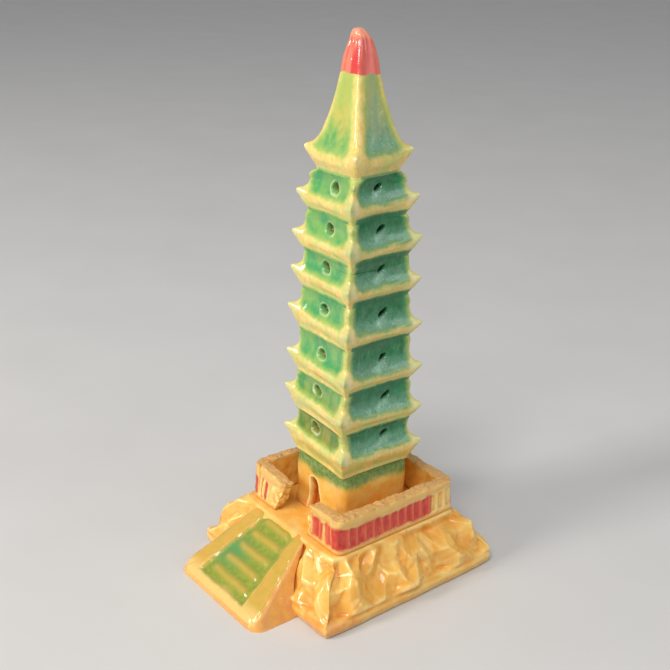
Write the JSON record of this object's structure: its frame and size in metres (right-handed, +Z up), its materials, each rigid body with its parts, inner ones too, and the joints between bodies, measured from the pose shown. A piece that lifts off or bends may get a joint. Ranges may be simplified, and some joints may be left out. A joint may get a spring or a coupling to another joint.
{
  "type": "miniature pagoda figurine",
  "caption": "Free-standing miniature tiered tower of glazed pottery on a rockwork mound with a walled terrace and a stair ramp, hollow underneath.",
  "frame": {"origin": "on the ground, in the middle of the footprint", "axes": "+Z up the tower, -Y towards the stair, +X to the right of someone who faces the stair"},
  "size_m": [0.0368, 0.0452, 0.0902],
  "materials": {
    "amber_glaze": "glossy amber glaze, darker where it pools",
    "ramp_glaze": "glossy green and amber glaze",
    "parapet_glaze": "glossy amber glaze with red ribs and bare tops",
    "green_glaze": "glossy green glaze, thin and yellow on the edges",
    "spire_glaze": "glossy green glaze with a red tip"
  },
  "bodies": {
    "root": {"rockwork_mound": "amber_glaze", "stair_ramp": "ramp_glaze", "parapet_left": "parapet_glaze", "parapet_right": "parapet_glaze", "parapet_back": "parapet_glaze", "parapet_front_left": "parapet_glaze", "parapet_front_right": "parapet_glaze", "ground_storey": "amber_glaze", "storey_2": "green_glaze", "storey_3": "green_glaze", "storey_4": "green_glaze", "storey_5": "green_glaze", "storey_6": "green_glaze", "storey_7": "green_glaze", "storey_8": "green_glaze", "spire_roof": "spire_glaze"}
  },
  "joints": []
}
